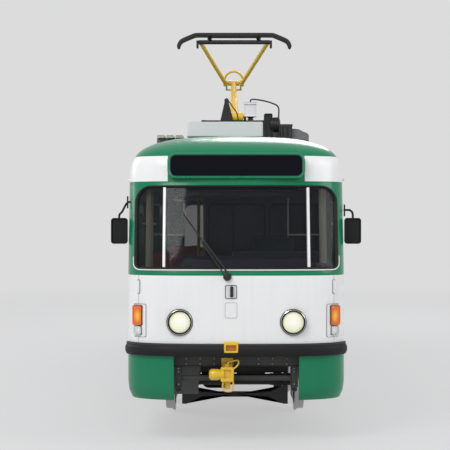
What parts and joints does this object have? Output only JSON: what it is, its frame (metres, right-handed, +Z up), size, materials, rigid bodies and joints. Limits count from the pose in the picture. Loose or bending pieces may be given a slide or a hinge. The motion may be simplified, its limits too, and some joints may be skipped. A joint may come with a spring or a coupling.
{
  "type": "four-axle city tram",
  "caption": "Single-ended city tram with rounded ends, folding doors on one side, two swivelling bogies and a half pantograph.",
  "frame": {"origin": "under the middle of the car, at the lowest point of the wheel flanges", "axes": "-Y is the front, -X the door side, +Z up"},
  "size_m": [2.56, 13.9984, 4.506],
  "materials": {
    "green_paint": "gloss green body paint, lightly weathered",
    "white_paint": "gloss white body paint",
    "glass": "tinted window glass",
    "black_rubber": "matt black rubber and plastic",
    "dark_steel": "dark grey paint on steel, dusty",
    "wheel_steel": "worn rolled steel, bright tread",
    "grey_steel": "grey paint on steel tube",
    "yellow_paint": "yellow paint on cast steel",
    "lamp_lens": "ribbed lamp glass in a chrome bezel",
    "light_grey": "pale grey paint",
    "crate_grey": "dark grey housing",
    "board_wood": "weathered roof boards",
    "grey_plastic": "grey floor covering and moulded desk",
    "seat_fabric": "driver's seat upholstery",
    "seat_shell": "moulded red plastic seat shells",
    "rail_yellow": "yellow coated tube"
  },
  "bodies": {
    "root": {"underframe": "dark_steel", "floor": "grey_plastic", "roof_front": "green_paint", "roof_middle": "green_paint", "roof_rear": "green_paint", "front_end": "white_paint", "rear_end": "white_paint", "side_wall_left": "green_paint", "side_wall_right": "green_paint", "windshield": "glass", "rear_window": "glass", "side_windows_left": "glass", "side_windows_right_front": "glass", "side_windows_right_rear": "glass", "bumper_front": "black_rubber", "bumper_rear": "black_rubber", "destination_box": "green_paint", "headlight_left": "lamp_lens", "headlight_right": "lamp_lens", "coupler_front": "yellow_paint", "coupler_rear": "yellow_paint", "mirror_left": "black_rubber", "mirror_right": "black_rubber", "cab_partition": "light_grey", "driver_desk": "grey_plastic", "driver_seat": "seat_fabric", "seats_left": "seat_shell", "seats_right_front": "seat_shell", "seats_right_rear": "seat_shell", "grab_rails": "rail_yellow", "air_conditioner": "light_grey", "roof_container": "crate_grey", "roof_walkway": "board_wood", "roof_electrics": "dark_steel", "pantograph_base": "dark_steel", "wiper": "black_rubber", "coupling_pocket": "yellow_paint"},
    "bogie_front": {"bogie_front": "dark_steel"},
    "wheels_front_a": {"wheels_front_a": "wheel_steel"},
    "wheels_front_b": {"wheels_front_b": "wheel_steel"},
    "bogie_rear": {"bogie_rear": "dark_steel"},
    "wheels_rear_a": {"wheels_rear_a": "wheel_steel"},
    "wheels_rear_b": {"wheels_rear_b": "wheel_steel"},
    "door_front_a1": {"door_front_a1": "green_paint"},
    "door_front_a2": {"door_front_a2": "green_paint"},
    "door_front_b1": {"door_front_b1": "green_paint"},
    "door_front_b2": {"door_front_b2": "green_paint"},
    "door_middle_a1": {"door_middle_a1": "green_paint"},
    "door_middle_a2": {"door_middle_a2": "green_paint"},
    "door_middle_b1": {"door_middle_b1": "green_paint"},
    "door_middle_b2": {"door_middle_b2": "green_paint"},
    "door_rear_a1": {"door_rear_a1": "green_paint"},
    "door_rear_a2": {"door_rear_a2": "green_paint"},
    "door_rear_b1": {"door_rear_b1": "green_paint"},
    "door_rear_b2": {"door_rear_b2": "green_paint"},
    "pantograph_lower_arm": {"pantograph_lower_arm": "yellow_paint"},
    "pantograph_upper_arm": {"pantograph_upper_arm": "yellow_paint"},
    "pantograph_head": {"pantograph_head": "dark_steel"},
    "pantograph_rod": {"pantograph_rod": "grey_steel"}
  },
  "joints": [
    {"name": "bogie_front_swivel", "type": "hinge", "parent": "root", "child": "bogie_front", "pos_m": [0, -3.2, 0.64], "axis": [0, 0, 1], "range_deg": [-10, 10]},
    {"name": "wheels_front_a_roll", "type": "hinge", "parent": "bogie_front", "child": "wheels_front_a", "pos_m": [0, -4.15, 0.36], "axis": [1, 0, 0], "continuous": true},
    {"name": "wheels_front_b_roll", "type": "hinge", "parent": "bogie_front", "child": "wheels_front_b", "pos_m": [0, -2.25, 0.36], "axis": [1, 0, 0], "continuous": true},
    {"name": "bogie_rear_swivel", "type": "hinge", "parent": "root", "child": "bogie_rear", "pos_m": [0, 3.2, 0.64], "axis": [0, 0, 1], "range_deg": [-10, 10]},
    {"name": "wheels_rear_a_roll", "type": "hinge", "parent": "bogie_rear", "child": "wheels_rear_a", "pos_m": [0, 2.25, 0.36], "axis": [1, 0, 0], "continuous": true},
    {"name": "wheels_rear_b_roll", "type": "hinge", "parent": "bogie_rear", "child": "wheels_rear_b", "pos_m": [0, 4.15, 0.36], "axis": [1, 0, 0], "continuous": true},
    {"name": "door_front_a1_swing", "type": "hinge", "parent": "root", "child": "door_front_a1", "pos_m": [-1.0475, -6.218, 1.4], "axis": [0, 0, -1], "range_deg": [0, 80]},
    {"name": "door_front_a2_fold", "type": "hinge", "parent": "door_front_a1", "child": "door_front_a2", "pos_m": [-1.068, -5.922, 1.4], "axis": [0, 0, 1], "range_deg": [0, 160]},
    {"name": "door_front_b1_swing", "type": "hinge", "parent": "root", "child": "door_front_b1", "pos_m": [-1.0475, -4.982, 1.4], "axis": [0, 0, 1], "range_deg": [0, 80]},
    {"name": "door_front_b2_fold", "type": "hinge", "parent": "door_front_b1", "child": "door_front_b2", "pos_m": [-1.068, -5.278, 1.4], "axis": [0, 0, -1], "range_deg": [0, 160]},
    {"name": "door_middle_a1_swing", "type": "hinge", "parent": "root", "child": "door_middle_a1", "pos_m": [-1.0475, -0.618, 1.4], "axis": [0, 0, -1], "range_deg": [0, 80]},
    {"name": "door_middle_a2_fold", "type": "hinge", "parent": "door_middle_a1", "child": "door_middle_a2", "pos_m": [-1.068, -0.322, 1.4], "axis": [0, 0, 1], "range_deg": [0, 160]},
    {"name": "door_middle_b1_swing", "type": "hinge", "parent": "root", "child": "door_middle_b1", "pos_m": [-1.0475, 0.618, 1.4], "axis": [0, 0, 1], "range_deg": [0, 80]},
    {"name": "door_middle_b2_fold", "type": "hinge", "parent": "door_middle_b1", "child": "door_middle_b2", "pos_m": [-1.068, 0.322, 1.4], "axis": [0, 0, -1], "range_deg": [0, 160]},
    {"name": "door_rear_a1_swing", "type": "hinge", "parent": "root", "child": "door_rear_a1", "pos_m": [-1.0475, 4.982, 1.4], "axis": [0, 0, -1], "range_deg": [0, 80]},
    {"name": "door_rear_a2_fold", "type": "hinge", "parent": "door_rear_a1", "child": "door_rear_a2", "pos_m": [-1.068, 5.278, 1.4], "axis": [0, 0, 1], "range_deg": [0, 160]},
    {"name": "door_rear_b1_swing", "type": "hinge", "parent": "root", "child": "door_rear_b1", "pos_m": [-1.0475, 6.218, 1.4], "axis": [0, 0, 1], "range_deg": [0, 80]},
    {"name": "door_rear_b2_fold", "type": "hinge", "parent": "door_rear_b1", "child": "door_rear_b2", "pos_m": [-1.068, 5.922, 1.4], "axis": [0, 0, -1], "range_deg": [0, 160]},
    {"name": "pantograph_raise", "type": "hinge", "parent": "root", "child": "pantograph_lower_arm", "pos_m": [0, -3, 3.5], "axis": [1, 0, 0], "range_deg": [-26, 27]},
    {"name": "pantograph_knee", "type": "hinge", "parent": "pantograph_lower_arm", "child": "pantograph_upper_arm", "pos_m": [0, -2.04819, 4.01035], "axis": [-1, 0, 0], "range_deg": [-43.68, 45.36]},
    {"name": "pantograph_head_tilt", "type": "hinge", "parent": "pantograph_upper_arm", "child": "pantograph_head", "pos_m": [0, -3.24516, 4.4039], "axis": [1, 0, 0], "range_deg": [-17.68, 18.36]},
    {"name": "pantograph_rod_swing", "type": "hinge", "parent": "root", "child": "pantograph_rod", "pos_m": [0, -2.8, 3.4], "axis": [1, 0, 0], "range_deg": [-27.17, 28.21]}
  ],
  "couplings": [
    {"joint": "door_front_a2_fold", "follows": "door_front_a1_swing", "ratio": 2},
    {"joint": "door_front_b1_swing", "follows": "door_front_a1_swing", "ratio": 1},
    {"joint": "door_front_b2_fold", "follows": "door_front_a1_swing", "ratio": 2},
    {"joint": "door_middle_a2_fold", "follows": "door_middle_a1_swing", "ratio": 2},
    {"joint": "door_middle_b1_swing", "follows": "door_middle_a1_swing", "ratio": 1},
    {"joint": "door_middle_b2_fold", "follows": "door_middle_a1_swing", "ratio": 2},
    {"joint": "door_rear_a2_fold", "follows": "door_rear_a1_swing", "ratio": 2},
    {"joint": "door_rear_b1_swing", "follows": "door_rear_a1_swing", "ratio": 1},
    {"joint": "door_rear_b2_fold", "follows": "door_rear_a1_swing", "ratio": 2},
    {"joint": "pantograph_knee", "follows": "pantograph_raise", "ratio": 1.68},
    {"joint": "pantograph_head_tilt", "follows": "pantograph_raise", "ratio": 0.68},
    {"joint": "pantograph_rod_swing", "follows": "pantograph_raise", "ratio": 1.045}
  ]
}
